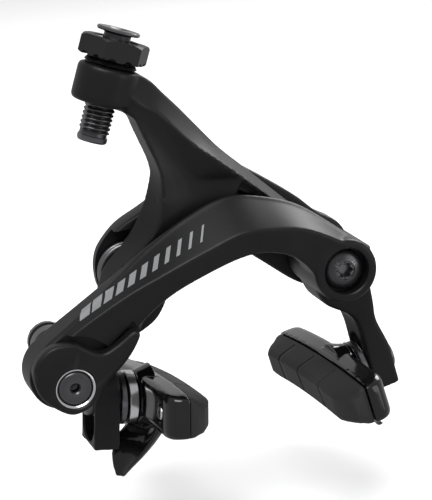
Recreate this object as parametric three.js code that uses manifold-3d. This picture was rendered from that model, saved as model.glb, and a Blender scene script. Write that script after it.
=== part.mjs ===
// Two-pivot rim brake caliper for a centre bolt, drawn in its open, unclamped state.
// Millimetres. +X to the rider's left, +Y to the rear (towards the fork), +Z up.
// The origin is on the centre bolt's axis, at the face that seats on the fork.

import * as THREE from 'three';
import { mergeGeometries, mergeVertices } from 'three/addons/utils/BufferGeometryUtils.js';
import Module from 'manifold-3d';

const wasm = await Module();
wasm.setup();

// ---------------------------------------------------------------- driving sizes
const gap = 0.3; // between pieces that touch
const runningGap = 0.4; // between a shaft and what turns on it

const pivotX = 22.5; // half the distance between the two pivots
const pivotZ = -16; // pivot height against the centre bolt
const reach = 42.4; // shoe bolt below the centre bolt
const legThick = 6.1;
const shoeBoltY = -16.5;
const slotPocket = 2.8; // a wider step in the slot's outer side, for the washer
const slotFoot = 2.2; // metal left under the slot

// The open caliper hangs a little to one side, so its legs lean differently. faceX is the inner
// face at the shoe bolt, slotUp and slotDown are the height adjustment left from here, and
// shoePitch lifts the front end of the shoe. A thin washer brings the shoe closer to its leg by
// closer, and guideDrop is how far the wheel guide hangs under the holder.
const { degToRad } = THREE.MathUtils;
const legs = {
  left: {
    name: 'left', side: -1, faceX: 29.6, tilt: degToRad(4), slotUp: 0.6, slotDown: 5,
    shoePitch: degToRad(7), closer: 0, guideDrop: 13.8,
  },
  right: {
    name: 'right', side: 1, faceX: 30.6, tilt: degToRad(15), slotUp: 5, slotDown: 0.1,
    shoePitch: degToRad(4), closer: 1.8, guideDrop: 11.4,
  },
};

const seatThick = 1.7; // toothed washer
const bridgeFront = -8;
const bridgeThick = 5.7;
const armBack = -9.3;
const leftArmFront = -17.2;
const archBack = -18;
const archFront = -28.7;
const legFront = -22;
const legBack = -11;

const pivotBoltR = 3;
const pivotHeadR = 4.7;
const pivotHeadThick = 2.4;
const bushWall = 1;
const pivotBossR = 7.4;

const centreBoltR = 3;
const centreHeadR = 4.4;
const centreBoltEnd = 18; // how far the bolt reaches behind the fork seat

const adjusterTilt = degToRad(17.4);
const adjusterFoot = [-31.1, 16.2]; // lower end of the threaded barrel, x and z
const barrelR = 3.5;
const threadPitch = 1;
const threadDepth = 0.45;
const cableBoreR = 1.5;
const bossFrom = 8.5; // distances along the barrel
const bossTo = 17;
const bossR = 6.9;
const collarThick = 1;
const collarR = 5.9;
const nutThick = 4.4;
const nutAcrossFlats = 13.8;
const neckR = 3;
const discR = 4.8;
const discThick = 0.9;
const barrelFlat = 3; // flat on the barrel, from its axis

const leverAxle = [-41.6, -34.2];
const leverAxleR = 2.5;
const leverHeadR = 3.9;
const leverThick = 3.2;
const leverReach = 18.6; // tail tip from the axle
const leverBossReach = 10.9; // far side of the round end from the axle
const leverRecessFloor = -26.9;
const crankThick = 3;
const clampAt = [-43.4, -28.2]; // beside the line of the cable, behind the arch
const clampBoltR = 2;
const clampR = 4.4;

const rollerAt = [6, -4];
const rollerR = 2.8;
const rollerPinR = 1.4;

const shoeBoltR = 2.9;
const shoeHeadR = 3.4;
const shoeHeadThick = 2.3;
const shoeWasherR = 4.3;
const shoeWasherThick = 1;
const padScrewY = -19;
const washerR = 6.2;
const holderBack = 4.9; // distances from the leg's inner face, towards the rim
const holderFront = 9.9;
const holderTop = 5.4; // heights against the shoe bolt
const holderFoot = -4.4;
const padFace = 16.2;
const padNear = -25.5; // ends of the shoe along y, against the bolt
const padFar = 34.5;
const rimR = 315; // braking track, which the shoe follows

const round = 24; // sides of an ordinary cylinder

// ---------------------------------------------------------------- geometry tools
function solid(geometry) {
  const bare = geometry.clone();
  bare.deleteAttribute('normal');
  bare.deleteAttribute('uv');
  const merged = mergeVertices(bare, 1e-4);
  return new wasm.Manifold(new wasm.Mesh({
    numProp: 3,
    vertProperties: new Float32Array(merged.attributes.position.array),
    triVerts: new Uint32Array(merged.index.array),
  }));
}

// A manifold as a mesh, with its sliver faces taken out.
function surface(manifold) {
  const mesh = manifold.simplify(0.002).getMesh();
  const geometry = new THREE.BufferGeometry();
  geometry.setAttribute('position', new THREE.BufferAttribute(new Float32Array(mesh.vertProperties), 3));
  geometry.setIndex(new THREE.BufferAttribute(new Uint32Array(mesh.triVerts), 1));
  geometry.computeVertexNormals();
  return geometry;
}

function join(...geometries) {
  const [first, ...rest] = geometries.map(solid);
  return surface(rest.reduce((sum, piece) => sum.add(piece), first));
}

function cut(body, ...tools) {
  return surface(tools.map(solid).reduce((rest, tool) => rest.subtract(tool), solid(body)));
}

// A closed skin over rings that all have the same number of points.
function loft(rings) {
  const sides = rings[0].length;
  const points = rings.flat();
  const index = [];
  for (let i = 0; i + 1 < rings.length; i += 1) {
    for (let j = 0; j < sides; j += 1) {
      const a = i * sides + j;
      const b = i * sides + ((j + 1) % sides);
      index.push(a, b, a + sides, b, b + sides, a + sides);
    }
  }
  const lastRing = (rings.length - 1) * sides;
  const firstCap = THREE.ShapeUtils.triangulateShape(flatten(rings[0]), []);
  const lastCap = THREE.ShapeUtils.triangulateShape(flatten(rings[rings.length - 1]), []);
  for (const [a, b, c] of firstCap) index.push(a, c, b);
  for (const [a, b, c] of lastCap) index.push(lastRing + a, lastRing + b, lastRing + c);
  const geometry = new THREE.BufferGeometry();
  const numbers = points.flatMap((p) => [p.x, p.y, p.z]);
  geometry.setAttribute('position', new THREE.Float32BufferAttribute(numbers, 3));
  geometry.setIndex(index);
  return facingOut(geometry);
}

// A ring seen in its own plane, for closing its end.
function flatten(ring) {
  const centre = ring.reduce((sum, p) => sum.add(p), new THREE.Vector3()).divideScalar(ring.length);
  const along = ring[0].clone().sub(centre).normalize();
  const normal = new THREE.Vector3();
  ring.forEach((p, i) => {
    const q = ring[(i + 1) % ring.length];
    normal.add(p.clone().sub(centre).cross(q.clone().sub(centre)));
  });
  const across = normal.normalize().cross(along);
  return ring.map((p) => {
    const d = p.clone().sub(centre);
    return new THREE.Vector2(d.dot(along), d.dot(across));
  });
}

function facingOut(geometry) {
  const p = geometry.attributes.position;
  const index = geometry.index.array;
  const [a, b, c] = [new THREE.Vector3(), new THREE.Vector3(), new THREE.Vector3()];
  let volume = 0;
  for (let i = 0; i < index.length; i += 3) {
    a.fromBufferAttribute(p, index[i]);
    b.fromBufferAttribute(p, index[i + 1]);
    c.fromBufferAttribute(p, index[i + 2]);
    volume += a.dot(b.cross(c));
  }
  if (volume > 0) return geometry;
  for (let i = 0; i < index.length; i += 3) {
    [index[i], index[i + 1]] = [index[i + 1], index[i]];
  }
  return geometry;
}

// Rows of numbers eased through by a Catmull-Rom curve.
function eased(rows, steps) {
  const out = [];
  for (let i = 0; i + 1 < rows.length; i += 1) {
    const p0 = rows[Math.max(i - 1, 0)];
    const p3 = rows[Math.min(i + 2, rows.length - 1)];
    for (let k = 0; k < steps; k += 1) {
      const t = k / steps;
      out.push(rows[i].map((p1, j) => {
        const p2 = rows[i + 1][j];
        const slope1 = (p2 - p0[j]) / 2;
        const slope2 = (p3[j] - p1) / 2;
        return (2 * t ** 3 - 3 * t ** 2 + 1) * p1 + (t ** 3 - 2 * t ** 2 + t) * slope1
          + (3 * t ** 2 - 2 * t ** 3) * p2 + (t ** 3 - t ** 2) * slope2;
      }));
    }
  }
  out.push(rows[rows.length - 1]);
  return out;
}

// One cross-section of a limb. A row holds both edges in x and z, the back plane, the front
// edge on each side, and the ridge between them as a share of the width and a depth.
function limbRing(row, corner) {
  const [ax, az, bx, bz, back, frontA, frontB, ridgeAt, ridge] = row;
  const width = Math.hypot(ax - bx, az - bz);
  const c = Math.min(corner, width * 0.3);
  const s = c / width;
  const profile = [
    [s, back], [0, back - c], [0, frontB + c], [s, frontB],
    [ridgeAt, ridge], [1 - s, frontA], [1, frontA + c], [1, back - c], [1 - s, back],
  ];
  return profile.map(([t, y]) => new THREE.Vector3(bx + (ax - bx) * t, y, bz + (az - bz) * t));
}

function limb(rows, { steps = 4, corner = 1.2 } = {}) {
  return loft(eased(rows, steps).map((row) => limbRing(row, corner)));
}

// A cylinder along y, between two depths.
function barY(x, z, r, from, to, sides = round) {
  const geometry = new THREE.CylinderGeometry(r, r, to - from, sides);
  return geometry.translate(x, (from + to) / 2, z);
}

// A shape drawn in x and z, made solid between two depths.
function slab(shape, from, to, curveSegments = 12) {
  const geometry = new THREE.ExtrudeGeometry(shape, { depth: to - from, bevelEnabled: false, curveSegments });
  return geometry.rotateX(Math.PI / 2).translate(0, to, 0);
}

function outline(points) {
  return new THREE.Shape(points.map(([x, z]) => new THREE.Vector2(x, z)));
}

// The outline around two circles of different size.
function link([x1, z1], r1, [x2, z2], r2) {
  const heading = Math.atan2(z2 - z1, x2 - x1);
  const lean = Math.acos((r1 - r2) / Math.hypot(x2 - x1, z2 - z1));
  const shape = new THREE.Shape();
  shape.absarc(x1, z1, r1, heading + lean, heading - lean + 2 * Math.PI, false);
  shape.absarc(x2, z2, r2, heading - lean, heading + lean, false);
  return shape;
}

// A turned piece around y, from radius and depth pairs that start and end on the axis or close.
function turned(profile, sides = round) {
  return new THREE.LatheGeometry(profile.map(([r, y]) => new THREE.Vector2(r, y)), sides);
}

function ring(rOut, rIn, from, to, sides = round) {
  return turned([[rIn, from], [rOut, from], [rOut, to], [rIn, to], [rIn, from]], sides);
}

function hexagon(acrossFlats, from, to) {
  return barY(0, 0, acrossFlats / Math.sqrt(3), from, to, 6);
}

const parts = new THREE.Group();

function add(name, geometry, colour, roughness = 0.5, metalness = 0.6) {
  const material = new THREE.MeshStandardMaterial({ color: colour, roughness, metalness, flatShading: true });
  const mesh = new THREE.Mesh(geometry, material);
  mesh.name = name;
  parts.add(mesh);
}

const colours = { body: 0x1c1d1f, gloss: 0x101012, steel: 0xb8bcc0, dark: 0x2a2b2e, rubber: 0x3a3b3d };

// ---------------------------------------------------------------- bridge and centre bolt
const bridgeBack = bridgeFront + bridgeThick;
const pivots = [[-pivotX, pivotZ], [pivotX, pivotZ]];
const bridgeCentreR = 8;
const bridgeEndR = 8.7;
const springBay = 3.4; // the coil sits in a step in front of the left end

function makeBridge() {
  const bars = pivots.map((at) => {
    const shape = link([0, 0], bridgeCentreR, at, bridgeEndR);
    return slab(shape, bridgeFront, bridgeBack, 14);
  });
  const boltHole = barY(0, 0, centreBoltR + gap, bridgeFront - 1, bridgeBack + 1);
  const headSeat = barY(0, 0, centreHeadR + gap, bridgeFront - 1, bridgeFront + 3);
  const pivotHoles = pivots.map(([x, z]) => barY(x, z, pivotBoltR + gap, bridgeFront - 1, bridgeBack + 1));
  const bay = ring(bridgeEndR + 1, pivotBoltR + 1.8, bridgeFront - 1, bridgeFront + springBay);
  bay.translate(-pivotX, 0, pivotZ);
  const screwHole = onBridgeEdge(barY(0, 0, 1.5 + gap, -6.5, 2, 20));
  add('back_bridge', cut(join(...bars), boltHole, headSeat, ...pivotHoles, bay, screwHole), colours.body);
}

// Stands a piece made around y on the bridge's lower left edge, with its foot inside.
function onBridgeEdge(geometry) {
  const slope = Math.atan2(-pivotZ, pivotX);
  const edge = (bridgeCentreR + bridgeEndR) / 2;
  const x = -pivotX / 2 + Math.sin(slope) * edge;
  const z = pivotZ / 2 - Math.cos(slope) * edge;
  const y = bridgeFront + bridgeThick / 2;
  return geometry.rotateX(Math.PI / 2).rotateY(Math.PI - slope).translate(x, y, z);
}

function makeCentringScrew() {
  const shank = barY(0, 0, 1.5, -6, 1, 20);
  const head = barY(0, 0, 2.5, gap, 2.3, 20);
  const socket = hexagon(2, 1, 3);
  add('centring_screw', onBridgeEdge(cut(join(shank, head), socket)), colours.dark, 0.35, 0.9);
}

function makeCentreBolt() {
  const head = barY(0, 0, centreHeadR, bridgeFront + 0.2, bridgeFront + 3 - gap);
  const shank = barY(0, 0, centreBoltR, bridgeFront + 1, centreBoltEnd - 0.6);
  const tip = turned([[0, centreBoltEnd - 1], [centreBoltR, centreBoltEnd - 1],
    [centreBoltR - 0.6, centreBoltEnd], [0, centreBoltEnd]]);
  const socket = hexagon(5, bridgeFront - 1, bridgeFront + 2);
  add('centre_bolt', cut(join(head, shank, tip), socket), colours.dark, 0.35, 0.9);
}

function makeToothedWasher() {
  const outerR = 8;
  const teeth = 20;
  const shape = new THREE.Shape();
  for (let i = 0; i < teeth * 2; i += 1) {
    const angle = (i * Math.PI) / teeth;
    const r = i % 2 ? outerR - 0.6 : outerR;
    const at = [r * Math.cos(angle), r * Math.sin(angle)];
    if (i) shape.lineTo(...at);
    else shape.moveTo(...at);
  }
  const hole = new THREE.Path();
  hole.absarc(0, 0, centreBoltR + gap, 0, 2 * Math.PI, true);
  shape.holes.push(hole);
  add('toothed_washer', slab(shape, -seatThick, 0), colours.steel, 0.4, 0.9);
}

// ---------------------------------------------------------------- pivots
// The right pivot's head shows in the arch; the left one is sunk in the arm behind the arch.
const rightHeadSeat = archFront + 3.4;
const leftHeadSeat = leftArmFront + 3;

function makePivot(side, headSeat) {
  const x = side * pivotX;
  const name = side > 0 ? 'right' : 'left';
  const shank = barY(x, pivotZ, pivotBoltR, headSeat - 1, bridgeBack + 0.4);
  const head = turned([[0, headSeat - pivotHeadThick], [pivotHeadR - 1, headSeat - pivotHeadThick],
    [pivotHeadR, headSeat - pivotHeadThick + 1], [pivotHeadR, headSeat - gap], [0, headSeat - gap]]);
  head.translate(x, 0, pivotZ);
  const socket = hexagon(4, headSeat - pivotHeadThick - 1, headSeat - 0.8).translate(x, 0, pivotZ);
  add(`${name}_pivot_bolt`, cut(join(shank, head), socket), colours.dark, 0.35, 0.9);

  const bush = ring(pivotBoltR + runningGap + bushWall, pivotBoltR + runningGap, headSeat, armBack - gap);
  add(`${name}_pivot_bush`, bush.translate(x, 0, pivotZ), 0x8a6a3a, 0.4, 0.8);

  const washer = ring(pivotBoltR + 2.6, pivotBoltR + runningGap, armBack + gap, bridgeFront - gap);
  add(`${name}_thrust_washer`, washer.translate(x, 0, pivotZ), colours.steel, 0.4, 0.8);
}

function pivotBore(side, front, headSeat) {
  const x = side * pivotX;
  const bore = barY(x, pivotZ, pivotBoltR + runningGap + bushWall + gap, front - 2, armBack + 2);
  const counterbore = barY(x, pivotZ, pivotHeadR + 0.6, front - 2, headSeat - 0.01);
  return [bore, counterbore];
}

// ---------------------------------------------------------------- legs
// Points on a leg's seat for the shoe: u towards the rim from the inner face, w up the leg.
function seatPoint({ side, faceX, tilt }, u, w) {
  const [s, c] = [Math.sin(tilt), Math.cos(tilt)];
  return [side * (faceX - u * c - w * s), -reach - u * s + w * c];
}

// The leg's four last rows, from above the slot to its foot. The first can start further back.
function legRows(leg, topFront = legFront) {
  const foot = -leg.slotDown - shoeBoltR - gap - slotFoot;
  const heights = [11, 4, foot * 0.4, foot];
  return heights.map((w, i) => {
    const outer = seatPoint(leg, i ? -legThick : -legThick * 0.78, w);
    const inner = seatPoint(leg, 0, w);
    const front = i ? legFront : topFront;
    return [...outer, ...inner, legBack, front, front, 0.5, front - 0.01];
  });
}

// The slot that the shoe bolt slides in, and the wider pocket in its outer side.
function slotCutter(leg) {
  const depth = 4 * legThick;
  const narrow = slotShape(leg, shoeBoltR + gap, -depth / 2, depth);
  const pocket = slotShape(leg, shoeWasherR + gap, -depth, depth - legThick + slotPocket);
  return inLeg(join(narrow, pocket), leg);
}

// A long round-ended bar along x, its section in y and z as tall as the height adjustment.
function slotShape({ slotUp, slotDown }, halfWidth, from, depth) {
  const shape = new THREE.Shape();
  shape.absarc(0, slotUp, halfWidth, 0, Math.PI, false);
  shape.absarc(0, -slotDown, halfWidth, Math.PI, 2 * Math.PI, false);
  const geometry = new THREE.ExtrudeGeometry(shape, { depth, bevelEnabled: false, curveSegments: 8 });
  const turn = new THREE.Matrix4().set(0, 0, 1, from, 1, 0, 0, 0, 0, 1, 0, 0, 0, 0, 0, 1);
  return geometry.applyMatrix4(turn);
}

// ---------------------------------------------------------------- right arm: the arch
function makeRightArm() {
  const arch = limb([
    [-46.9, -25.0, -39.5, -38.2, archBack, -26.8, -27.8, 0.9, archFront + 0.2],
    [-38.8, -19.6, -32.3, -30.0, archBack, -25.6, -27.8, 0.9, archFront],
    [-30.0, -13.6, -25.4, -22.4, archBack, -22.8, -27.8, 0.78, archFront],
    [-21.4, -7.5, -18.4, -17.0, archBack, -20.6, -27.8, 0.56, archFront],
    [-11.4, -1.4, -9.2, -12.8, archBack, -19.8, -27.8, 0.46, archFront],
    [-2.6, 2.0, -1.4, -10.2, archBack, -19.8, -27.8, 0.47, archFront],
    [6.2, 1.1, 4.4, -9.8, archBack, -20.0, -27.8, 0.51, archFront],
    [14.6, -1.7, 10.4, -11.6, archBack, -20.6, -27.8, 0.65, archFront],
    [23.8, -7.9, 14.8, -15.8, archBack, -23.4, -27.9, 0.82, archFront],
    [28.4, -12.0, 16.6, -20.4, archBack, -26.0, -28, 0.8, archFront],
  ], { corner: 1 });
  const pivotBoss = barY(pivotX, pivotZ, pivotBossR, archFront + 0.1, armBack, 40);
  const leftEnd = barY(-43.3, -32, 7.6, archFront + 0.6, archBack, 40);
  const leg = limb([
    [29.6, -14.0, 15.4, -15.0, legBack, legFront, legFront, 0.5, legFront - 0.1],
    [30.8, -21.4, 19.0, -24.4, legBack, legFront, legFront, 0.5, legFront - 0.1],
    [31.6, -26.0, 25.4, -28.4, legBack, legFront, legFront, 0.5, legFront - 0.1],
    ...legRows(legs.right),
  ], { corner: 1.2 });
  const neckBlock = slab(outline([[14.8, -12], [29, -11], [29.4, -20], [18, -22]]), archFront + 2, legBack);
  const lugShape = outline([[-27.6, -20], [-24.4, -19.6], [-24.9, -22.6], [-25.6, -24.6], [-26.8, -24.2]]);
  const lug = slab(lugShape, leverRecessFloor + gap, legFront + 2); // the closed lever's tail rests here
  const tools = [
    ...pivotBore(1, archFront, rightHeadSeat),
    leverRecess(),
    barY(...leverAxle, leverAxleR + runningGap, archFront - 2, archBack + 2),
    barY(...rollerAt, rollerPinR + gap, archBack - 4, archBack + 1),
    slotCutter(legs.right),
  ];
  add('right_arm', cut(join(arch, pivotBoss, leftEnd, lug, leg, neckBlock), ...tools), colours.body);
}

// Room for the lever: its round end above, and the sweep of its tail below.
function leverRecess() {
  const tailTop = 0.75; // just above the tail's upper edge when closed, in radians
  const around = 0.5;
  const shape = new THREE.Shape();
  shape.absarc(...leverAxle, leverReach + around, tailTop, tailTop - Math.PI, true);
  const low = slab(shape, archFront - 3, leverRecessFloor);
  const high = barY(...leverAxle, leverBossReach + around, archFront - 3, leverRecessFloor, 40);
  return join(low, high);
}

// ---------------------------------------------------------------- left arm
function barrelPoint(along, across = 0) {
  const [s, c] = [Math.sin(adjusterTilt), Math.cos(adjusterTilt)];
  return [adjusterFoot[0] + along * s + across * c, adjusterFoot[1] + along * c - across * s];
}

const barrelY = -13;

// Stands a piece made around y on the barrel's axis, its y measured along the barrel.
function onBarrel(geometry) {
  const [x, z] = adjusterFoot;
  return geometry.rotateX(Math.PI / 2).rotateY(adjusterTilt).translate(x, barrelY, z);
}

function makeLeftArm() {
  const front = leftArmFront;
  const boss = onBarrel(barY(0, 0, bossR, bossFrom, bossTo, 40));
  const stem = [
    [...barrelPoint(bossTo, 4), ...barrelPoint(bossFrom, 3), armBack, front, front, 0.5, front - 0.4],
    [-17.5, 28.7, -23.7, 21.4, armBack, front + 3, front, 0.6, front],
  ];
  const wing = limb([
    ...stem,
    [-10.4, 21.6, -18.9, 13.5, armBack, front + 5, front, 0.62, front],
    [-1.2, 11.6, -11.0, 6.0, armBack, front + 6, front, 0.62, front],
    [8.0, 3.2, -1.2, ...wingUnderside(-1.2), armBack, front + 6, front, 0.6, front],
    [16.2, -3.8, 13.6, ...wingUnderside(13.6), armBack, front + 4, front, 0.5, front],
  ], { corner: 0.8 });
  const side = limb([
    ...stem,
    [-11.0, 18.0, -18.9, 13.5, armBack, front, front, 0.5, front - 0.01],
    [-8.0, 10.0, -17.2, 8.6, armBack, front, front, 0.5, front - 0.01],
    [-9.0, 2.5, -18.6, 1.6, armBack, front, front, 0.5, front - 0.01],
    [-12.5, -7.0, -23.6, -5.6, armBack, front, front, 0.5, front - 0.01],
    [-14.8, -16.0, -29.4, -14.5, armBack, front, front, 0.5, front - 0.01],
    [-19.0, -25.0, -32.0, -23.5, armBack - 0.8, front, front, 0.5, front - 0.01],
    ...mirroredLeg(),
  ], { corner: 1 });
  const webShape = outline([[-17, 9], [-11, 18], [-2, 10], [6, 2], [1.4, 2.2], [0.4, -3.5], [-5, -7.5],
    [-14, -9]]);
  const web = slab(webShape, front + 0.6, armBack);
  const tools = [
    ...pivotBore(-1, leftArmFront, leftHeadSeat),
    onBarrel(barY(0, 0, barrelR + gap, bossFrom - 6, bossTo + 6)),
    slotCutter(legs.left),
  ];
  add('left_arm', cut(join(boss, wing, side, web), ...tools), colours.body);
}

// The left leg's rows, with its edges in the same order as the limb above it.
function mirroredLeg() {
  return legRows(legs.left, leftArmFront).map(([ax, az, bx, bz, ...depths]) => [bx, bz, ax, az, ...depths]);
}

// The wing's lower edge rides on the roller. Its slope keeps both arms turning alike.
function wingUnderside(x) {
  const [px, pz] = rollerAt;
  const sliding = [2 * (pz - pivotZ), -2 * px];
  const length = Math.hypot(...sliding);
  const normal = [-sliding[1] / length, sliding[0] / length];
  const start = [px + normal[0] * (rollerR + 0.9), pz + normal[1] * (rollerR + 0.9)];
  return [start[1] + ((x - start[0]) * sliding[1]) / sliding[0]];
}

function makeRoller() {
  const pin = barY(...rollerAt, rollerPinR, archBack - 4 + gap, armBack - 0.6);
  add('roller_pin', pin, colours.steel, 0.3, 0.9);
  const wheel = ring(rollerR, rollerPinR + runningGap, archBack + gap + 0.2, armBack - 0.8);
  add('roller', wheel.translate(rollerAt[0], 0, rollerAt[1]), colours.steel, 0.35, 0.9);
}

// ---------------------------------------------------------------- cable adjuster
function threadProfile(from, to) {
  const points = [];
  for (let y = from; y + threadPitch <= to + 1e-6; y += threadPitch) {
    points.push([barrelR - threadDepth, y], [barrelR, y + threadPitch / 2]);
  }
  points.push([barrelR - threadDepth, to]);
  return points;
}

function makeAdjuster() {
  const collarFrom = bossTo + gap;
  const nutFrom = collarFrom + collarThick + gap;
  const nutTo = nutFrom + nutThick;
  const discFrom = nutTo + 1.4;
  const discTo = discFrom + discThick;

  const collar = ring(collarR, barrelR + gap, collarFrom, collarFrom + collarThick);
  add('adjuster_seat_ring', onBarrel(collar), colours.dark, 0.45, 0.7);

  const nutBore = barY(0, 0, barrelR + gap, nutFrom - 1, nutTo + 1);
  const nut = cut(hexagon(nutAcrossFlats, nutFrom, nutTo), nutBore);
  add('adjusting_nut', onBarrel(nut), colours.body, 0.5, 0.6);

  const thread = turned([[cableBoreR, 0.2], ...threadProfile(0.2, nutTo - 0.2), [neckR, nutTo - 0.2],
    [neckR, discFrom], [discR, discFrom], [discR, discTo], [cableBoreR, discTo], [cableBoreR, 0.2]], 16);
  const flat = new THREE.BoxGeometry(4, nutTo + 1, 10).translate(-barrelFlat - 2, nutTo / 2, 0);
  flat.translate(0, -0.9, 0);
  add('adjusting_bolt', onBarrel(cut(thread, flat)), colours.dark, 0.4, 0.9);
}

// ---------------------------------------------------------------- quick-release lever and cable clamp
// The round end and the curved tail, against the axle. The tail's points are shares of its reach.
function leverShape() {
  const end = [[1.3, -5.7], [-1.6, -5.8], [-5.2, -3.6], [-7.9, -0.6], [-9, 4], [-7.9, 7.2], [-5.2, 9.5],
    [-2.5, 10.1], [0.8, 9.9], [2.9, 8.7], [5.1, 7.5]];
  const tail = [[0.39, 0.39], [0.56, 0.484], [0.72, 0.6], [0.8, 0.59], [0.817, 0.532], [0.7, 0.333],
    [0.554, 0.172], [0.387, 0.011], [0.215, -0.215]];
  const points = [...end, ...tail.map(([x, z]) => [x * leverReach, z * leverReach])];
  const loop = eased([...points, points[0]], 3).slice(0, -1);
  return outline(loop.map(([x, z]) => [x + leverAxle[0], z + leverAxle[1]]));
}

function makeLever() {
  const front = leverRecessFloor - gap - leverThick;
  const plate = slab(leverShape(), front, leverRecessFloor - gap, 8);
  const bore = barY(...leverAxle, leverAxleR + gap, front - 1, archBack);
  const sunk = barY(...leverAxle, leverHeadR + gap, front - 1, front + 1.4);
  add('qr_lever', cut(plate, bore, sunk), colours.body);

  const head = barY(...leverAxle, leverHeadR, front + 0.2, front + 1.4 - gap);
  const shank = barY(...leverAxle, leverAxleR, front + 0.4, archBack + gap + crankThick - 0.2);
  const socket = hexagon(2.5, front - 1, front + 2).translate(leverAxle[0], 0, leverAxle[1]);
  add('lever_axle', cut(join(head, shank), socket), colours.dark, 0.3, 0.9);

  const crankFront = archBack + gap;
  const crankBack = crankFront + crankThick;
  const crank = slab(link(leverAxle, 4.6, clampAt, clampR), crankFront, crankBack);
  const axleHole = barY(...leverAxle, leverAxleR + gap, crankFront - 1, crankBack + 1);
  const boltHole = barY(...clampAt, clampBoltR + gap, crankFront - 1, crankBack + 1);
  add('clamp_crank', cut(crank, axleHole, boltHole), colours.dark, 0.4, 0.8);

  const cableRoom = 1.8; // the bare cable lies between the crank and the plate
  const plateFront = crankBack + cableRoom;
  const clampPlate = ring(clampR, clampBoltR + gap, plateFront, plateFront + 1.2);
  add('cable_clamp_plate', clampPlate.translate(clampAt[0], 0, clampAt[1]), colours.steel, 0.35, 0.9);

  const boltHead = hexagon(6, plateFront + 1.2 + gap, plateFront + 4.2).translate(clampAt[0], 0, clampAt[1]);
  const boltShank = barY(...clampAt, clampBoltR, crankFront + 0.4, plateFront + 2);
  add('cable_clamp_bolt', join(boltHead, boltShank), colours.steel, 0.3, 0.9);
}

// ---------------------------------------------------------------- return spring
function makeReturnSpring() {
  const coilR = 6.4;
  const wireR = 0.6;
  const turns = 2;
  const rise = 1.3;
  const steps = 18; // to a turn
  const points = [];
  for (let i = 0; i <= turns * steps; i += 1) {
    const angle = (i / steps) * 2 * Math.PI;
    const x = -pivotX + coilR * Math.cos(angle);
    const y = bridgeFront + (i / steps) * rise;
    points.push(new THREE.Vector3(x, y, pivotZ + coilR * Math.sin(angle)));
  }
  const curve = new THREE.CatmullRomCurve3(points);
  const section = new THREE.Shape();
  section.absarc(0, 0, wireR, 0, 2 * Math.PI, false);
  const sweep = { steps: turns * steps, extrudePath: curve, curveSegments: 4 };
  const coil = new THREE.ExtrudeGeometry(section, sweep);
  add('return_spring', coil, colours.steel, 0.35, 0.9);
}

// ---------------------------------------------------------------- brake shoes
// Shoe pieces are drawn with x towards the rim from the leg's inner face, y to the rear and
// z up, around the shoe bolt, and then stood on one leg.
function inLeg(geometry, { side, faceX, tilt }) {
  const [s, c] = [Math.sin(tilt), Math.cos(tilt)];
  const matrix = new THREE.Matrix4().set(
    -side * c, 0, -side * s, side * faceX,
    0, 1, 0, shoeBoltY,
    -s, 0, c, -reach,
    0, 0, 0, 1,
  );
  geometry.applyMatrix4(matrix);
  return facingOut(indexed(geometry));
}

// The same for a piece that pitches with the shoe around its bolt.
function inShoe(geometry, leg) {
  return inLeg(geometry.rotateX(-leg.shoePitch).translate(-leg.closer, 0, 0), leg);
}

function indexed(geometry) {
  const bare = geometry.clone();
  bare.deleteAttribute('normal');
  bare.deleteAttribute('uv');
  return mergeVertices(bare, 1e-4);
}

// A piece turned around the shoe bolt, from radius and distance pairs.
function aroundBolt(profile, sides = round) {
  return turned(profile, sides).rotateZ(-Math.PI / 2);
}

// A long bar that follows the rim: its section in x and z, drawn between two ends.
function rimBar(section, from, to, steps = 12) {
  const rings = [];
  for (let i = 0; i <= steps; i += 1) {
    const y = from + ((to - from) * i) / steps;
    const end = Math.min(y - from, to - y);
    const shrink = end < 0.01 ? 0.8 : 1;
    const drop = (y * y) / (2 * rimR);
    rings.push(section.map(([x, z]) => new THREE.Vector3(x, y, z * shrink - drop)));
  }
  return loft(rings);
}

function makeHolder(leg) {
  const section = [
    [holderBack, holderFoot + 1.6], [holderBack + 1.6, holderFoot], [holderFront, holderFoot],
    [holderFront, holderTop], [holderBack + 1.6, holderTop], [holderBack, holderTop - 1.6],
  ];
  const body = rimBar(section, padNear, padFar);
  const mound = aroundBolt([[0, 4.4], [6.4, 4.4], [7.2, holderBack + 1.5], [7.2, holderFront - 2],
    [0, holderFront - 2]]);
  const guide = loft(guideRings(leg));
  const boltHole = aroundBolt([[0, 3], [shoeBoltR + gap, 3], [shoeBoltR + gap, 9], [0, 9]]);
  const screwHole = new THREE.CylinderGeometry(1.9, 1.9, 4, 20).rotateZ(Math.PI / 2);
  screwHole.translate(6, padScrewY, 0);
  return inShoe(cut(join(body, mound, guide), boltHole, screwHole), leg);
}

// The wheel guide: a blade under the holder that turns and narrows on its way down. Rows hold its
// depth as a share, the corners on the leg's side and on the rim's side in x and y, and its thickness.
function guideRings({ guideDrop, closer }) {
  const shares = [
    [-0.14, 5.2, 4.4, 8.8, -7.0, 2.2],
    [0.14, 4.9, 4.2, 8.9, -6.8, 2.0],
    [0.37, 1.4, 3.4, 7.8, -5.4, 1.8],
    [0.62, 0.2, 2.4, 5.6, -3.8, 1.6],
    [0.84, 0.1, 1.2, 3.2, -2.2, 1.4],
    [1, 0.6, 0.2, 1.6, -1.0, 1.2],
  ];
  const rows = shares.map(([share, x1, ...rest]) => [holderFoot - share * guideDrop, x1 + closer, ...rest]);
  return rows.map(([z, x1, y1, x2, y2, thick]) => {
    const length = Math.hypot(x2 - x1, y2 - y1);
    const across = [((y2 - y1) / length) * (thick / 2), ((x1 - x2) / length) * (thick / 2)];
    return [
      new THREE.Vector3(x1 + across[0], y1 + across[1], z),
      new THREE.Vector3(x2 + across[0], y2 + across[1], z),
      new THREE.Vector3(x2 - across[0], y2 - across[1], z),
      new THREE.Vector3(x1 - across[0], y1 - across[1], z),
    ];
  });
}

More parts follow.
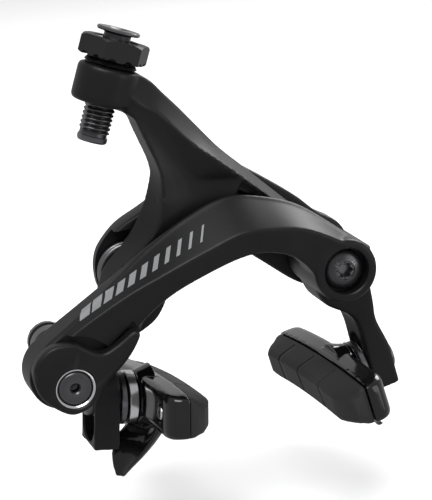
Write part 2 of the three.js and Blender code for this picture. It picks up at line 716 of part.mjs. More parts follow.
function makePad(leg) {
  const base = holderFront + gap;
  const section = [
    [base, holderFoot + 0.3], [padFace - 1.2, holderFoot + 0.9], [padFace, holderFoot + 1.5],
    [padFace, holderTop - 2.4], [padFace - 1.2, holderTop - 1.8], [base, holderTop - 1.2],
  ];
  const body = rimBar(section, padNear + 1.5, padFar - 1.5);
  const grooves = [-12, 2, 16].map((y) => {
    const groove = new THREE.BoxGeometry(2.6, 1.3, 20);
    return groove.rotateX(0.35).translate(padFace + 0.1, y, 0);
  });
  return inShoe(cut(body, ...grooves), leg);
}

// A flat ring around the shoe bolt.
function boltWasher(rOut, from, to) {
  const bore = shoeBoltR + gap;
  return aroundBolt([[bore, from], [rOut, from], [rOut, to], [bore, to], [bore, from]]);
}

function makeShoeMount(leg) {
  const put = (piece, geometry, ...looks) => add(`${leg.name}_${piece}`, inLeg(geometry, leg), ...looks);
  const washerOut = -legThick + slotPocket - gap; // the outer washer lies in the pocket
  const washerIn = washerOut - shoeWasherThick;
  const headFrom = washerIn - gap;
  const headTo = headFrom - shoeHeadThick;
  const tip = holderBack + 3.7 - leg.closer;

  const bolt = aroundBolt([[0, headTo], [shoeHeadR - 0.4, headTo], [shoeHeadR, headTo + 0.4],
    [shoeHeadR, headFrom], [shoeBoltR, headFrom], [shoeBoltR, tip], [0, tip]]);
  const socket = hexagon(4, 0, 3).rotateZ(-Math.PI / 2).translate(headTo - 1.4, 0, 0);
  put('shoe_bolt', cut(bolt, socket), colours.steel, 0.35, 0.9);
  put('outer_washer', boltWasher(shoeWasherR, washerIn, washerOut), colours.steel, 0.35, 0.9);

  const bore = shoeBoltR + gap;
  const dished = aroundBolt([[bore, gap], [washerR - 0.4, gap], [washerR - 0.2, 1.6], [bore, 0.9],
    [bore, gap]]);
  put('concave_washer', dished, colours.dark, 0.4, 0.8);
  const domeTop = holderBack - 0.8 - leg.closer;
  const domed = aroundBolt([[bore, 1.25], [washerR - 0.4, 2], [washerR, 2.15], [washerR - 0.2, domeTop],
    [bore, domeTop], [bore, 1.25]]);
  put('convex_washer', domed, 0xd8dadd, 0.2, 1);
}

function makeShoe(leg) {
  add(`${leg.name}_shoe_holder`, makeHolder(leg), colours.gloss, 0.15, 0.4);
  add(`${leg.name}_brake_pad`, makePad(leg), colours.rubber, 0.85, 0);
  const screw = new THREE.CylinderGeometry(1.6, 1.6, 3, 20).rotateZ(Math.PI / 2).translate(6.2, padScrewY, 0);
  add(`${leg.name}_pad_screw`, inShoe(screw, leg), colours.steel, 0.35, 0.9);
}

makeBridge();
makeCentringScrew();
makeCentreBolt();
makeToothedWasher();
makePivot(-1, leftHeadSeat);
makePivot(1, rightHeadSeat);
makeReturnSpring();
makeRightArm();
makeLeftArm();
makeRoller();
makeAdjuster();
makeLever();
for (const leg of [legs.left, legs.right]) {
  makeShoeMount(leg);
  makeShoe(leg);
}

export default parts;
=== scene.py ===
import math

import bmesh
import bpy
import numpy as np
from mathutils import Matrix, Vector
from mathutils.bvhtree import BVHTree


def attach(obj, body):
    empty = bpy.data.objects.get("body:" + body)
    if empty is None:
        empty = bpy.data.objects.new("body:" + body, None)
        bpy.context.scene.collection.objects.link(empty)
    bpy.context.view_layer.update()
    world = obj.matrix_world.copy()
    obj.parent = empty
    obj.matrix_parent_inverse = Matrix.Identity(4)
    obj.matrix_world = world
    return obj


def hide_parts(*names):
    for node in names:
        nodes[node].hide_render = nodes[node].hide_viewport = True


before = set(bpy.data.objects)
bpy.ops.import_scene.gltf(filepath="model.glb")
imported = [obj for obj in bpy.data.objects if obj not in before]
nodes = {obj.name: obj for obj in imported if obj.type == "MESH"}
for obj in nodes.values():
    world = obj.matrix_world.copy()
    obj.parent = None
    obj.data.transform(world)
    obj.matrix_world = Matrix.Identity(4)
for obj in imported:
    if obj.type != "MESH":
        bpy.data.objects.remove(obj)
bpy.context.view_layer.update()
mm = 0.001
scene = bpy.context.scene
print("loaded the frame:", len(nodes), "nodes")


# small helpers for making meshes, everything in mm until the mesh is built
def newPiece(name, points, faces):
    data = bpy.data.meshes.new(name)
    data.from_pydata([[c * mm for c in p] for p in points], [], faces)
    piece = bpy.data.objects.new(name, data)
    scene.collection.objects.link(piece)
    faceOut(piece)
    return piece


def faceOut(piece):
    bm = bmesh.new()
    bm.from_mesh(piece.data)
    bmesh.ops.recalc_face_normals(bm, faces=bm.faces)
    if bm.calc_volume(signed=True) < 0:
        bmesh.ops.reverse_faces(bm, faces=bm.faces)
    bm.to_mesh(piece.data)
    bm.free()


# skin over rings of points, all of one length, closed at both ends
def skin(rings, closed=False):
    sides = len(rings[0])
    points = [p for ring in rings for p in ring]
    faces = []
    turns = len(rings) if closed else len(rings) - 1
    for i in range(turns):
        for j in range(sides):
            k = (j + 1) % sides
            n = (i + 1) % len(rings)
            faces.append((i * sides + j, i * sides + k, n * sides + k, n * sides + j))
    if not closed:
        faces.append(tuple(range(sides)))
        faces.append(tuple((len(rings) - 1) * sides + j for j in range(sides)))
    return points, faces


# rows of numbers eased through by a smooth curve
def eased(rows, steps, around=False):
    out = []
    count = len(rows)
    pairs = count if around else count - 1
    for i in range(pairs):
        if around:
            p0, p1, p2, p3 = (np.array(rows[(i + k) % count], float) for k in (-1, 0, 1, 2))
        else:
            picks = (max(i - 1, 0), i, i + 1, min(i + 2, count - 1))
            p0, p1, p2, p3 = (np.array(rows[k], float) for k in picks)
        for k in range(steps):
            t = k / steps
            a = 2 * t**3 - 3 * t**2 + 1
            b = t**3 - 2 * t**2 + t
            c = 3 * t**2 - 2 * t**3
            d = t**3 - t**2
            out.append(a * p1 + b * (p2 - p0) / 2 + c * p2 + d * (p3 - p1) / 2)
    if not around:
        out.append(np.array(rows[-1], float))
    return out


# a turned shape about z, from radius and height pairs
def turned(profile, sides=64, place=Matrix.Identity(4)):
    rings = []
    for i in range(sides):
        a = 2 * math.pi * i / sides
        rings.append([place @ Vector((max(r, 0.001) * math.cos(a), max(r, 0.001) * math.sin(a), h))
                      for r, h in profile])
    return skin(rings, closed=True)


# an outline in x and z made solid between two depths
def slab(outline, front, back):
    rings = [[(x, y, z) for x, z in outline] for y in (front, back)]
    return skin(rings)


def circle(x, z, r, start=0.0, end=360.0, steps=72):
    angles = np.radians(np.linspace(start, end, steps, endpoint=end - start < 360))
    return [(x + r * math.cos(a), z + r * math.sin(a)) for a in angles]


def gathered(shapes):
    points, faces = [], []
    for p, f in shapes:
        faces += [tuple(i + len(points) for i in face) for face in f]
        points += [tuple(q) for q in p]
    return points, faces


# modifiers become part of the mesh
def settle(piece):
    graph = bpy.context.evaluated_depsgraph_get()
    done = bpy.data.meshes.new_from_object(piece.evaluated_get(graph))
    piece.modifiers.clear()
    old, piece.data = piece.data, done
    bpy.data.meshes.remove(old)
    return piece


# one casting from overlapping solids, its corners softened
def castPiece(name, shapes, voxel, rounds):
    piece = newPiece(name, *gathered(shapes))
    remesh = piece.modifiers.new("cast", "REMESH")
    remesh.mode = "VOXEL"
    remesh.voxel_size = voxel * mm
    remesh.use_smooth_shade = True
    soften = piece.modifiers.new("soften", "SMOOTH")
    soften.factor = 0.5
    soften.iterations = rounds
    return settle(piece)


def carve(piece, shapes, operation="DIFFERENCE"):
    for shape in shapes:
        tool = newPiece("tool", *shape)
        cutter = piece.modifiers.new("carve", "BOOLEAN")
        cutter.operation = operation
        cutter.solver = "EXACT"
        cutter.object = tool
        settle(piece)
        data = tool.data
        bpy.data.objects.remove(tool)
        bpy.data.meshes.remove(data)
    return piece


def bevelled(piece, width, segments=3, angle=30):
    bevel = piece.modifiers.new("edges", "BEVEL")
    bevel.width = width * mm
    bevel.segments = segments
    bevel.limit_method = "ANGLE"
    bevel.angle_limit = math.radians(angle)
    bevel.miter_outer = "MITER_ARC"
    return settle(piece)


def softEdges(piece, angle=32):
    for face in piece.data.polygons:
        face.use_smooth = True
    piece.data.set_sharp_from_angle(angle=math.radians(angle))
    return piece


def fitted(piece, body, nodeNames, finish):
    piece.data.materials.clear()
    piece.data.materials.append(finish)
    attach(piece, body)
    if nodeNames:
        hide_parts(*nodeNames)
    return piece


# where pieces stand: a turned shape's z goes along y, along the barrel or along the shoe bolt
def alongY(x, z, y=0.0):
    return Matrix(((1, 0, 0, x), (0, 0, 1, y), (0, -1, 0, z), (0, 0, 0, 1)))


layout = {
    "pivotX": 22.5,
    "pivotZ": -16.0,
    "reach": 42.4,
    "legThick": 6.1,
    "slotHalf": 3.2,
    "pocketHalf": 4.6,
    "slotPocket": 2.8,
    "slotFoot": 2.2,
    "legs": {
        -1: {"faceX": 29.6, "tilt": 4.0, "slotUp": 0.6, "slotDown": 5.0, "pitch": 7.0, "closer": 0.0,
             "guideDrop": 13.8},
        1: {"faceX": 30.6, "tilt": 15.0, "slotUp": 5.0, "slotDown": 0.1, "pitch": 4.0, "closer": 1.8,
            "guideDrop": 11.4},
    },
    "shoeBoltY": -16.5,
    "adjusterTilt": 17.4,
    "adjusterFoot": (-31.1, 16.2),
    "barrelY": -13.0,
    "leverAxle": (-41.6, -34.2),
    "archBack": -18.0,
    "archFront": -28.7,
    "armBack": -9.3,
    "armFront": -17.2,
    "legFront": -22.0,
    "legBack": -11.0,
    "recessFloor": -26.9,
    "rollerAt": (6.0, -4.0),
    "rimRadius": 315.0,
}
tilt = math.radians(layout["adjusterTilt"])
barrelPlace = Matrix((
    (math.cos(tilt), 0, math.sin(tilt), layout["adjusterFoot"][0]),
    (0, 1, 0, layout["barrelY"]),
    (-math.sin(tilt), 0, math.cos(tilt), layout["adjusterFoot"][1]),
    (0, 0, 0, 1),
))


# x towards the rim from the leg's inner face, y to the rear, z up, around the shoe bolt
def legPlace(side):
    leg = layout["legs"][side]
    s, c = math.sin(math.radians(leg["tilt"])), math.cos(math.radians(leg["tilt"]))
    return Matrix((
        (-side * c, 0, -side * s, side * leg["faceX"]),
        (0, 1, 0, layout["shoeBoltY"]),
        (-s, 0, c, -layout["reach"]),
        (0, 0, 0, 1),
    ))


# the same, pitched with the shoe and closer to the leg where the washer is thin
def shoePlace(side):
    leg = layout["legs"][side]
    shift = Matrix.Translation((-leg["closer"], 0, 0))
    return legPlace(side) @ shift @ Matrix.Rotation(-math.radians(leg["pitch"]), 4, "X")


aroundBolt = Matrix(((0, 0, 1, 0), (0, 1, 0, 0), (-1, 0, 0, 0), (0, 0, 0, 1)))


# finishes
def finishOf(name, look):
    made = bpy.data.materials.new(name)
    made.use_nodes = True
    tree = made.node_tree
    shader = tree.nodes["Principled BSDF"]
    shader.inputs["Metallic"].default_value = look["metal"]
    shader.inputs["Coat Weight"].default_value = look.get("coat", 0.0)
    shader.inputs["Coat Roughness"].default_value = look.get("coatRough", 0.1)
    shader.inputs["Specular IOR Level"].default_value = look.get("specular", 0.5)

    place = tree.nodes.new("ShaderNodeTexCoord")
    clouds = tree.nodes.new("ShaderNodeTexNoise")
    clouds.inputs["Scale"].default_value = look.get("cloudScale", 90.0)
    clouds.inputs["Detail"].default_value = 4.0
    grain = tree.nodes.new("ShaderNodeTexNoise")
    grain.inputs["Scale"].default_value = look["grainScale"]
    grain.inputs["Detail"].default_value = 3.0
    stretch = tree.nodes.new("ShaderNodeMapping")
    stretch.inputs["Scale"].default_value = look.get("stretch", (1, 1, 1))
    tree.links.new(place.outputs["Object"], clouds.inputs["Vector"])
    tree.links.new(place.outputs["Object"], stretch.inputs["Vector"])
    tree.links.new(stretch.outputs["Vector"], grain.inputs["Vector"])

    colour = tree.nodes.new("ShaderNodeValToRGB")
    colour.color_ramp.elements[0].position = 0.3
    colour.color_ramp.elements[1].position = 0.72
    colour.color_ramp.elements[0].color = (*look["dark"], 1)
    colour.color_ramp.elements[1].color = (*look["light"], 1)
    tree.links.new(clouds.outputs["Fac"], colour.inputs["Fac"])
    # painted highlight: convex edges picked out by pointiness are lightened towards the edge colour,
    # standing in for edge highlights
    paintedEdgeShine = tree.nodes.new("ShaderNodeMix")
    paintedEdgeShine.data_type = "RGBA"
    paintedEdgeShine.inputs["B"].default_value = (*look.get("edge", look["light"]), 1)
    edges = tree.nodes.new("ShaderNodeNewGeometry")
    edgeRamp = tree.nodes.new("ShaderNodeMapRange")
    edgeRamp.inputs["From Min"].default_value = 0.52
    edgeRamp.inputs["From Max"].default_value = 0.62
    edgeRamp.inputs["To Max"].default_value = look.get("edgeShineStrength", 0.3)
    tree.links.new(edges.outputs["Pointiness"], edgeRamp.inputs["Value"])
    tree.links.new(edgeRamp.outputs["Result"], paintedEdgeShine.inputs["Factor"])
    tree.links.new(colour.outputs["Color"], paintedEdgeShine.inputs["A"])
    tree.links.new(paintedEdgeShine.outputs["Result"], shader.inputs["Base Color"])

    rough = tree.nodes.new("ShaderNodeMapRange")
    rough.inputs["To Min"].default_value = look["rough"][0]
    rough.inputs["To Max"].default_value = look["rough"][1]
    tree.links.new(grain.outputs["Fac"], rough.inputs["Value"])
    tree.links.new(rough.outputs["Result"], shader.inputs["Roughness"])

    bump = tree.nodes.new("ShaderNodeBump")
    bump.inputs["Strength"].default_value = look["bump"]
    bump.inputs["Distance"].default_value = 0.0001
    tree.links.new(grain.outputs["Fac"], bump.inputs["Height"])
    tree.links.new(bump.outputs["Normal"], shader.inputs["Normal"])
    return made


# each look's edge colour and its strength paint highlights onto convex edges
looks = {
    "satinPaint": {"metal": 0.0, "dark": (0.005, 0.005, 0.0055), "light": (0.008, 0.008, 0.0085),
                   "edge": (0.02, 0.02, 0.021),
                   "rough": (0.34, 0.44), "grainScale": 2600.0, "bump": 0.12, "edgeShineStrength": 0.35,
                   "specular": 0.18},
    "glossPlastic": {"metal": 0.0, "dark": (0.003, 0.003, 0.0035), "light": (0.005, 0.005, 0.0055),
                     "rough": (0.09, 0.16),
                     "grainScale": 900.0, "bump": 0.05, "coat": 0.25, "coatRough": 0.05, "specular": 0.3},
    "blackSteel": {"metal": 0.85, "dark": (0.045, 0.045, 0.048), "light": (0.075, 0.075, 0.08),
                   "edge": (0.22, 0.22, 0.23),
                   "rough": (0.24, 0.36), "grainScale": 1800.0, "bump": 0.1, "edgeShineStrength": 0.6},
    "brightSteel": {"metal": 1.0, "dark": (0.55, 0.55, 0.56), "light": (0.72, 0.72, 0.74),
                    "rough": (0.16, 0.3),
                    "grainScale": 1200.0, "stretch": (1, 8, 1), "bump": 0.08},
    "dullSteel": {"metal": 0.9, "dark": (0.10, 0.10, 0.105), "light": (0.17, 0.17, 0.175),
                  "rough": (0.3, 0.42),
                  "grainScale": 1500.0, "bump": 0.08},
    "bronze": {"metal": 0.9, "dark": (0.28, 0.16, 0.06), "light": (0.4, 0.24, 0.1), "rough": (0.3, 0.45),
               "grainScale": 1500.0, "bump": 0.1},
    "padRubber": {"metal": 0.0, "dark": (0.012, 0.012, 0.013), "light": (0.018, 0.018, 0.019),
                  "edge": (0.03, 0.03, 0.031),
                  "rough": (0.5, 0.68), "grainScale": 3200.0, "bump": 0.3, "edgeShineStrength": 0.4, "specular": 0.2},
    "printGrey": {"metal": 0.0, "dark": (0.16, 0.165, 0.17), "light": (0.21, 0.215, 0.22),
                  "rough": (0.4, 0.5),
                  "grainScale": 2600.0, "bump": 0.1},
}
satinPaint, glossPlastic, blackSteel, brightSteel, dullSteel, bronze, padRubber, printGrey = (
    finishOf(name, looks[name]) for name in looks)
print("finishes made")


# limbs: a row holds both edges in x and z, the back, the front at each edge, and the ridge between them
def limbRings(rows, steps=8, corner=0.5):
    rings = []
    for row in eased(rows, steps):
        ax, az, bx, bz, back, frontA, frontB, ridgeAt, ridge = row
        s = corner / math.hypot(ax - bx, az - bz)
        profile = [
            (s, back), (0, back - corner), (0, frontB + corner), (s, frontB),
            (ridgeAt, ridge), (1 - s, frontA), (1, frontA + corner), (1, back - corner), (1 - s, back),
        ]
        rings.append([(bx + (ax - bx) * t, y, bz + (az - bz) * t) for t, y in profile])
    return skin(rings)


def seatPoint(side, u, w):
    leg = layout["legs"][side]
    s, c = math.sin(math.radians(leg["tilt"])), math.cos(math.radians(leg["tilt"]))
    return side * (leg["faceX"] - u * c - w * s), -layout["reach"] - u * s + w * c


def legRows(side, topFront):
    rows = []
    foot = -layout["legs"][side]["slotDown"] - layout["slotHalf"] - layout["slotFoot"]
    for w in (11, 4, foot * 0.4, foot):
        thick = layout["legThick"] * (0.78 if w == 11 else 1)
        outer, inner = seatPoint(side, -thick, w), seatPoint(side, 0, w)
        front = topFront if w == 11 else layout["legFront"]
        ends = (*outer, *inner) if side > 0 else (*inner, *outer)
        rows.append([*ends, layout["legBack"], front, front, 0.5, front - 0.01])
    return rows


# the slot that the shoe bolt slides in and the pocket outside it, with softened rims
def slotTools(side):
    leg = layout["legs"][side]
    place = legPlace(side)
    outside = -layout["legThick"]
    slot, pocket = layout["slotHalf"], layout["pocketHalf"]
    profiles = (  # distance from the inner face and half width
        [(-12, slot), (6, slot)],
        [(-12, pocket), (outside + layout["slotPocket"], pocket)],
        [(outside - 1.5, pocket + 1.8), (outside, pocket + 0.35), (outside + 0.4, pocket)],
        [(1.2, slot + 1.3), (0, slot + 0.35), (-0.4, slot)],
    )
    tools = []
    for profile in profiles:
        rings = []
        for u, half in profile:
            bow = [(half * math.cos(a), half * math.sin(a)) for a in np.linspace(0, math.pi, 20)]
            ring = [(y, z + leg["slotUp"]) for y, z in bow] + [(-y, -z - leg["slotDown"]) for y, z in bow]
            rings.append([place @ Vector((u, y, z)) for y, z in ring])
        tools.append(skin(rings))
    return tools


def boreTool(x, z, r, front, back, seat=None, seatR=0.0, edge=0.35):
    profile = [(0, front - 3), (r + edge + 3, front - 3), (r + edge, front), (r, front + edge),
               (r, back - edge), (r + edge, back),
               (r + edge + 2, back + 2), (0, back + 2)]
    if seat is not None:
        profile = [(0, front - 3), (seatR + edge + 3, front - 3), (seatR + edge, front),
                   (seatR, front + edge), (seatR, seat),
                   (r, seat + 0.01), (r, back - edge), (r + edge, back), (r + edge + 2, back + 2),
                   (0, back + 2)]
    return turned(profile, 72, alongY(x, z))


# the arch: right arm of the caliper, from the lever at the left end to the right shoe
archShape = {
    "rows": [
        [-46.9, -25.0, -39.5, -38.2, -18, -26.8, -27.8, 0.90, -28.5],
        [-38.8, -19.6, -32.3, -30.0, -18, -25.6, -27.8, 0.90, -28.7],
        [-30.0, -13.6, -25.4, -22.4, -18, -22.8, -27.8, 0.78, -28.7],
        [-21.4, -7.5, -18.4, -17.0, -18, -20.6, -27.8, 0.56, -28.7],
        [-11.4, -1.4, -9.2, -12.8, -18, -19.8, -27.8, 0.46, -28.7],
        [-2.6, 2.0, -1.4, -10.2, -18, -19.8, -27.8, 0.47, -28.7],
        [6.2, 1.1, 4.4, -9.8, -18, -20.0, -27.8, 0.51, -28.7],
        [14.6, -1.7, 10.4, -11.6, -18, -20.6, -27.8, 0.65, -28.7],
        [23.8, -7.9, 14.8, -15.8, -18, -23.4, -27.9, 0.82, -28.7],
        [28.4, -12.0, 16.6, -20.4, -18, -26.0, -28.0, 0.80, -28.7],
    ],
    "leftEnd": (-43.3, -32.0, 7.6),
    "pivotBossR": 7.4,
    "legTop": [
        [29.6, -14.0, 15.4, -15.0, -11, -22, -22, 0.5, -22.1],
        [30.8, -21.4, 19.0, -24.4, -11, -22, -22, 0.5, -22.1],
        [31.6, -26.0, 25.4, -28.4, -11, -22, -22, 0.5, -22.1],
    ],
    "neck": [(14.8, -12), (29, -11), (29.4, -20), (18, -22)],
    "lug": [(-27.6, -20.0), (-24.4, -19.6), (-24.9, -22.6), (-25.6, -24.6), (-26.8, -24.2)],
    "voxel": 0.36,
    "softening": 7,
}


def makeArch():
    shape = archShape
    x, z = layout["pivotX"], layout["pivotZ"]
    front, back = layout["archFront"], layout["archBack"]
    r = shape["pivotBossR"]
    boss = turned([(0, front + 0.1), (r - 0.5, front + 0.1), (r, front + 0.8),
                   (r, layout["armBack"] - 0.3), (r - 0.3, layout["armBack"]),
                   (0, layout["armBack"])], 72, alongY(x, z))
    ex, ez, er = shape["leftEnd"]
    leftEnd = turned([(0, front + 0.6), (er - 0.9, front + 0.6), (er, front + 1.8), (er, back - 0.5),
                      (er - 0.5, back), (0, back)],
                     72, alongY(ex, ez))
    shapes = [
        limbRings(shape["rows"]),
        boss,
        leftEnd,
        limbRings(shape["legTop"] + legRows(1, layout["legFront"])),
        slab(shape["neck"], front + 2, layout["legBack"]),
        slab(shape["lug"], -26.6, -20.0),
    ]
    arch = castPiece("front_arch", shapes, shape["voxel"], shape["softening"])
    ax, az = layout["leverAxle"]
    low = circle(ax, az, 19.1, 43, -137, 60)
    tools = [
        boreTool(x, z, 4.7, front, layout["armBack"], layout["archFront"] + 3.4, 5.3),
        slab(low, front - 3, layout["recessFloor"]),
        slab(circle(ax, az, 11.4), front - 3, layout["recessFloor"]),
        boreTool(ax, az, 2.9, front, back),
        turned([(0, -22), (1.7, -22), (1.7, -16), (0, -16)], 32, alongY(*layout["rollerAt"])),
        *slotTools(1),
    ]
    carve(arch, tools)
    return fitted(softEdges(arch), "right_arm", ["right_arm"], satinPaint)


frontArch = makeArch()
print("front arch made")


# printed slanting bars on the arch's broad bevel, thin and partly sunk in it
bars = {
    "ridge": [(-44.9, -23.0), (-40.4, -21.4), (-34.4, -18.8), (-26.6, -14.8), (-18.9, -11.2),
              (-11.3, -8.1), (-5.0, -5.4)],
    "top": [(-47.1, -25.3), (-39.6, -20.1), (-32.1, -15.0), (-26.2, -11.3), (-17.6, -4.9), (-12.0, -1.7),
            (-4.6, 2.0)],
    "from": -37.0,
    "to": -10.0,
    "count": 11,
    "widest": 2.3,
    "narrowest": 0.5,
    "low": 0.3,
    "high": 0.66,
    "slant": 1.5,
    "above": 0.05,
    "below": 0.15,
}


def onBevel(x, share):
    low = Vector((x, layout["archFront"], np.interp(x, *zip(*bars["ridge"]))))
    high = Vector((x, -20.0, np.interp(x, *zip(*bars["top"]))))
    return low.lerp(high, share)


def makeBars():
    tree = BVHTree.FromObject(frontArch, bpy.context.evaluated_depsgraph_get())
    b = bars
    shapes = []
    for k in range(b["count"]):
        part = k / (b["count"] - 1)
        middle = b["from"] + (b["to"] - b["from"]) * part
        width = b["widest"] + (b["narrowest"] - b["widest"]) * part
        rings = []
        for row in range(9):
            share = b["low"] + (b["high"] - b["low"]) * row / 8
            lean = b["slant"] * (row / 8 - 0.5)
            above, below = [], []
            for column in range(5):
                x = middle + lean + width * (column / 4 - 0.5)
                at = onBevel(x, share)
                out = (onBevel(x + 1, share) - at).cross(onBevel(x, share + 0.1) - at).normalized()
                hit = tree.ray_cast((at + out * 3) * mm, -out)[0] / mm
                above.append(hit + out * b["above"])
                below.append(hit - out * b["below"])
            rings.append(above + below[::-1])
        shapes.append(skin(rings))
    printed = newPiece("arch_bars", *gathered(shapes))
    return fitted(printed, "right_arm", [], printGrey)


makeBars()
print("printed bars made")


# the rear arm: adjuster boss, ridge and web, and the left shoe's leg
# a ridge row holds right edge, left edge, back, ridge share and depth, then the front at both edges
# a web row holds right edge, left edge, back, lean of the left side, dip, then the front at both edges
rearShape = {
    "ridge": [
        [-26.0, 32.2, -28.5, 24.4, -7.0, 0.50, -19.2, -18.6, -18.6],
        [-21.9, 31.3, -25.0, 22.9, -8.4, 0.45, -18.4, -17.6, -16.8],
        [-17.5, 28.7, -22.4, 21.1, -9.3, 0.38, -17.7, -16.4, -14.6],
        [-14.0, 25.2, -18.5, 19.5, -9.3, 0.40, -17.3, -15.5, -13.2],
        [-10.4, 21.6, -16.0, 15.5, -9.3, 0.48, -17.3, -15.5, -12.2],
        [-5.8, 16.6, -12.3, 10.8, -9.3, 0.55, -17.3, -15.5, -11.4],
        [-1.2, 11.6, -8.2, 6.0, -9.3, 0.70, -17.3, -15.5, -11.2],
        [4.0, 7.0, -2.6, 4.43, -9.3, 0.64, -17.3, -15.5, -11.2],
        [10.0, 1.7, 5.5, 0.39, -9.3, 0.51, -17.3, -15.5, -11.2],
        [16.2, -3.8, 13.6, -3.66, -9.3, 0.30, -17.3, -15.5, -12.5],
    ],
    "web": [
        [-27.2, 28.3, -28.5, 24.4, -7.0, 0.04, 0.0, -18.6, -19.0],
        [-23.6, 26.7, -25.0, 22.9, -8.4, 0.04, 0.0, -17.8, -18.2],
        [-20.5, 24.0, -22.4, 21.1, -9.3, 0.04, 0.1, -17.2, -17.5],
        [-17.2, 21.3, -20.9, 17.8, -9.3, 0.04, 0.3, -17.0, -17.1],
        [-13.3, 18.4, -19.4, 14.2, -9.3, 0.04, 0.7, -16.9, -17.1],
        [-8.7, 14.0, -17.9, 10.6, -9.3, 0.04, 1.1, -16.9, -17.1],
        [-3.3, 9.9, -17.2, 7.2, -9.3, 0.05, 1.5, -16.9, -17.1],
        [1.6, 6.0, -17.9, 3.6, -9.3, 0.08, 1.6, -16.9, -17.1],
        [0.8, 1.9, -19.0, 0.2, -9.3, 0.13, 1.2, -17.0, -17.0],
        [-6.0, -6.5, -21.2, -4.4, -9.3, 0.18, 0.6, -17.1, -17.1],
        [-12.5, -10.0, -24.5, -8.8, -9.3, 0.18, 0.2, -17.2, -17.2],
        [-14.8, -16.0, -29.4, -14.5, -9.3, 0.10, 0.0, -17.2, -17.2],
        [-19.0, -25.0, -32.0, -23.5, -10.1, 0.05, 0.0, -17.2, -17.2],
    ],
    "filling": [(-17, 2), (-8, 4), (0, 4), (0.4, -3.5), (-5, -7.5), (-14, -9)],
    "bossFrom": 8.5,
    "bossTo": 17.0,
    "bossR": 6.9,
    "voxel": 0.36,
    "softening": 7,
}


# the upper right member: a ridge between the sunk left flank and the sloping right one
def ridgeRings(rows, steps=8):
    rings = []
    for ax, az, bx, bz, back, ridgeAt, ridge, frontB, frontA in eased(rows, steps):
        profile = [(0, back), (0, frontB + 0.3), (0.03, frontB), (ridgeAt - 0.04, ridge + 0.05),
                   (ridgeAt, ridge), (0.97, frontA),
                   (1, frontA + 0.4), (1, back)]
        rings.append([(bx + (ax - bx) * t, y, bz + (az - bz) * t) for t, y in profile])
    return skin(rings)


# the hollowed web and the limb below it, with a left side that leans back
def webRings(rows, steps=8):
    rings = []
    for ax, az, bx, bz, back, lean, dip, frontB, frontA in eased(rows, steps):
        profile = [(0, back), (lean, frontB)]
        for share in (0.08, 0.2, 0.35, 0.5, 0.65, 0.8, 0.92):
            hollow = dip * 4 * share * (1 - share)
            profile.append((lean + (1 - lean) * share, frontB + (frontA - frontB) * share + hollow))
        profile += [(1, frontA), (1, back)]
        rings.append([(bx + (ax - bx) * t, y, bz + (az - bz) * t) for t, y in profile])
    return skin(rings)


def makeRearArm():
    shape = rearShape
    low, high, r = shape["bossFrom"], shape["bossTo"], shape["bossR"]
    boss = turned([(0, low), (r - 1.0, low), (r - 0.3, low + 0.3), (r, low + 1.0), (r, high - 1.0),
                   (r - 0.3, high - 0.3), (r - 1.0, high),
                   (0, high)], 72, barrelPlace)
    leg = [[*row[:5], 0.03, 0.0, row[5], row[6]] for row in legRows(-1, layout["armFront"])]
    shapes = [
        boss,
        ridgeRings(shape["ridge"]),
        webRings(shape["web"] + leg),
        slab(shape["filling"], -15.4, layout["armBack"]),
    ]
    arm = castPiece("rear_arm", shapes, shape["voxel"], shape["softening"])
    x, z = -layout["pivotX"], layout["pivotZ"]
    tools = [
        boreTool(x, z, 4.7, layout["armFront"], layout["armBack"], layout["armFront"] + 3, 5.3),
        turned([(0, low - 3), (5, low - 3), (4.1, low - 0.1), (3.8, low + 0.4), (3.8, high - 0.4),
                (4.1, high), (5, high + 2),
                (0, high + 2)], 72, barrelPlace),
        *slotTools(-1),
    ]
    carve(arm, tools)
    return fitted(softEdges(arm), "left_arm", ["left_arm"], satinPaint)


makeRearArm()
print("rear arm made")


# cable adjuster: threaded bolt with a flat, ring, and notched hexagon nut
adjuster = {
    "radius": 3.5,
    "pitch": 1.0,
    "depth": 0.5,
    "flatAt": 3.0,
    "threadFrom": 2.2,
    "threadTo": 22.6,
    "neckR": 3.0,
    "neckTo": 24.4,
    "discR": 4.8,
    "discTo": 25.3,
    "boreR": 1.5,
    "ringFrom": 17.3,
    "ringTo": 18.3,
    "ringR": 5.9,
    "nutFrom": 18.6,
    "nutTo": 23.0,
    "nutFlats": 13.8,
    "notches": 12,
}


def makeAdjustingBolt():
    a = adjuster
    sides = 72
    rings = []
    heights = [(0.0, 1.5), (0.0, 3.1), (0.35, 3.42), (1.3, 3.45), (1.45, 3.15), (a["threadFrom"], 3.05)]
    for i in range(sides):
        angle = 2 * math.pi * i / sides
        column = [(r, h) for h, r in heights]
        steps = int((a["threadTo"] - a["threadFrom"]) / a["pitch"] * 8)
        for k in range(steps):
            h = a["threadFrom"] + (k + 1) * a["pitch"] / 8
            phase = (h / a["pitch"] - i / sides) % 1.0
            crest = min(1.0, 2.6 * (0.5 - abs(phase - 0.5)))
            column.append((a["radius"] - a["depth"] * (1 - crest), h))
        disc = a["discR"]
        column += [(a["neckR"], a["threadTo"] + 0.2), (a["neckR"], a["neckTo"] - 0.3),
                   (a["neckR"] + 0.3, a["neckTo"]), (disc - 0.25, a["neckTo"] + 0.05),
                   (disc, a["neckTo"] + 0.3), (disc, a["discTo"] - 0.25), (disc - 0.25, a["discTo"]),
                   (2.3, a["discTo"]),
                   (2.0, a["discTo"] - 0.25), (a["boreR"], a["discTo"] - 0.3)]
        rings.append([(r * math.cos(angle), r * math.sin(angle), h) for r, h in column])
    points, faces = skin(rings, closed=True)
    flattened = []
    for x, y, z in points:
        if z < a["threadTo"] and x < -a["flatAt"]:
            x = -a["flatAt"] + (x + a["flatAt"]) * 0.02
        flattened.append(barrelPlace @ Vector((x, y, z)))
    bolt = newPiece("adjuster_bolt", flattened, faces)
    return fitted(softEdges(bolt, 40), "adjusting_bolt", ["adjusting_bolt"], blackSteel)


